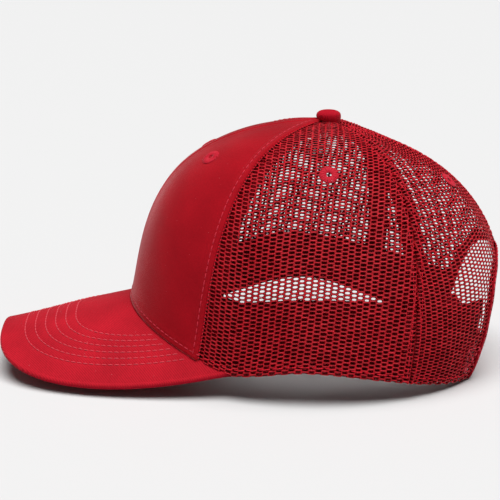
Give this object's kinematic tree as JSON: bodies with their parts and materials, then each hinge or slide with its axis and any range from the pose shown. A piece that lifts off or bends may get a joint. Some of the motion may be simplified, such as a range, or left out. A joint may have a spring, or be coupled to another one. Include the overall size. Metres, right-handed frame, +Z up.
{
  "type": "trucker mesh cap",
  "caption": "Cap with stiffened twill front panels, net side and back panels, a stitched curved visor, top button, eyelets and a plastic snap strap across the arched back opening.",
  "frame": {"origin": "middle of the cap's box, on the surface that it stands on", "axes": "-Y towards the tip of the visor, +X towards the wearer's left, +Z up"},
  "size_m": [0.169, 0.2738, 0.1378],
  "materials": {
    "twill": "fine diagonal cotton twill, matt, with topstitching",
    "net": "polyester net with staggered hexagonal holes, slight sheen",
    "embroidery": "radial satin stitches",
    "stiffener": "coarse open buckram, stiff",
    "tape": "folded woven tape, matt",
    "sweatband": "brushed twill band, matt",
    "foam": "soft foam padding",
    "board": "moulded sheet, matt",
    "strap_plastic": "satin moulded plastic",
    "rivet": "plain steel"
  },
  "bodies": {
    "crown": {"front_panel_left": "twill", "front_panel_right": "twill", "side_net_left": "net", "side_net_right": "net", "back_net_left": "net", "back_net_right": "net", "front_eyelet_left": "embroidery", "front_eyelet_right": "embroidery", "side_eyelet_left": "embroidery", "side_eyelet_right": "embroidery", "back_eyelet_left": "embroidery", "back_eyelet_right": "embroidery", "stiffener_left": "stiffener", "stiffener_right": "stiffener", "front_seam_tape": "tape", "front_side_tape_left": "tape", "front_side_tape_right": "tape", "side_back_tape_left": "tape", "side_back_tape_right": "tape", "back_seam_tape": "tape", "sweatband": "sweatband", "forehead_pad": "foam", "visor_top_cover": "twill", "visor_board": "board", "visor_under_cover": "twill", "arch_binding": "tape", "hole_strap_tab": "strap_plastic", "peg_strap_tab": "strap_plastic", "button_cap": "twill", "button_rivet": "rivet"},
    "hole_strap": {"hole_strap": "strap_plastic"},
    "peg_strap": {"peg_strap": "strap_plastic"}
  },
  "joints": [
    {"name": "hole_strap_swing", "type": "hinge", "parent": "crown", "child": "hole_strap", "pos_m": [-0.0425, 0.12147, 0.01218], "axis": [0, 0.3584, 0.9336], "range_deg": [0, 75], "stiffness_Nm_per_rad": 0.01},
    {"name": "peg_strap_swing", "type": "hinge", "parent": "crown", "child": "peg_strap", "pos_m": [0.0425, 0.12007, 0.01271], "axis": [0, 0.3584, 0.9336], "range_deg": [0, 25], "stiffness_Nm_per_rad": 0.01}
  ]
}
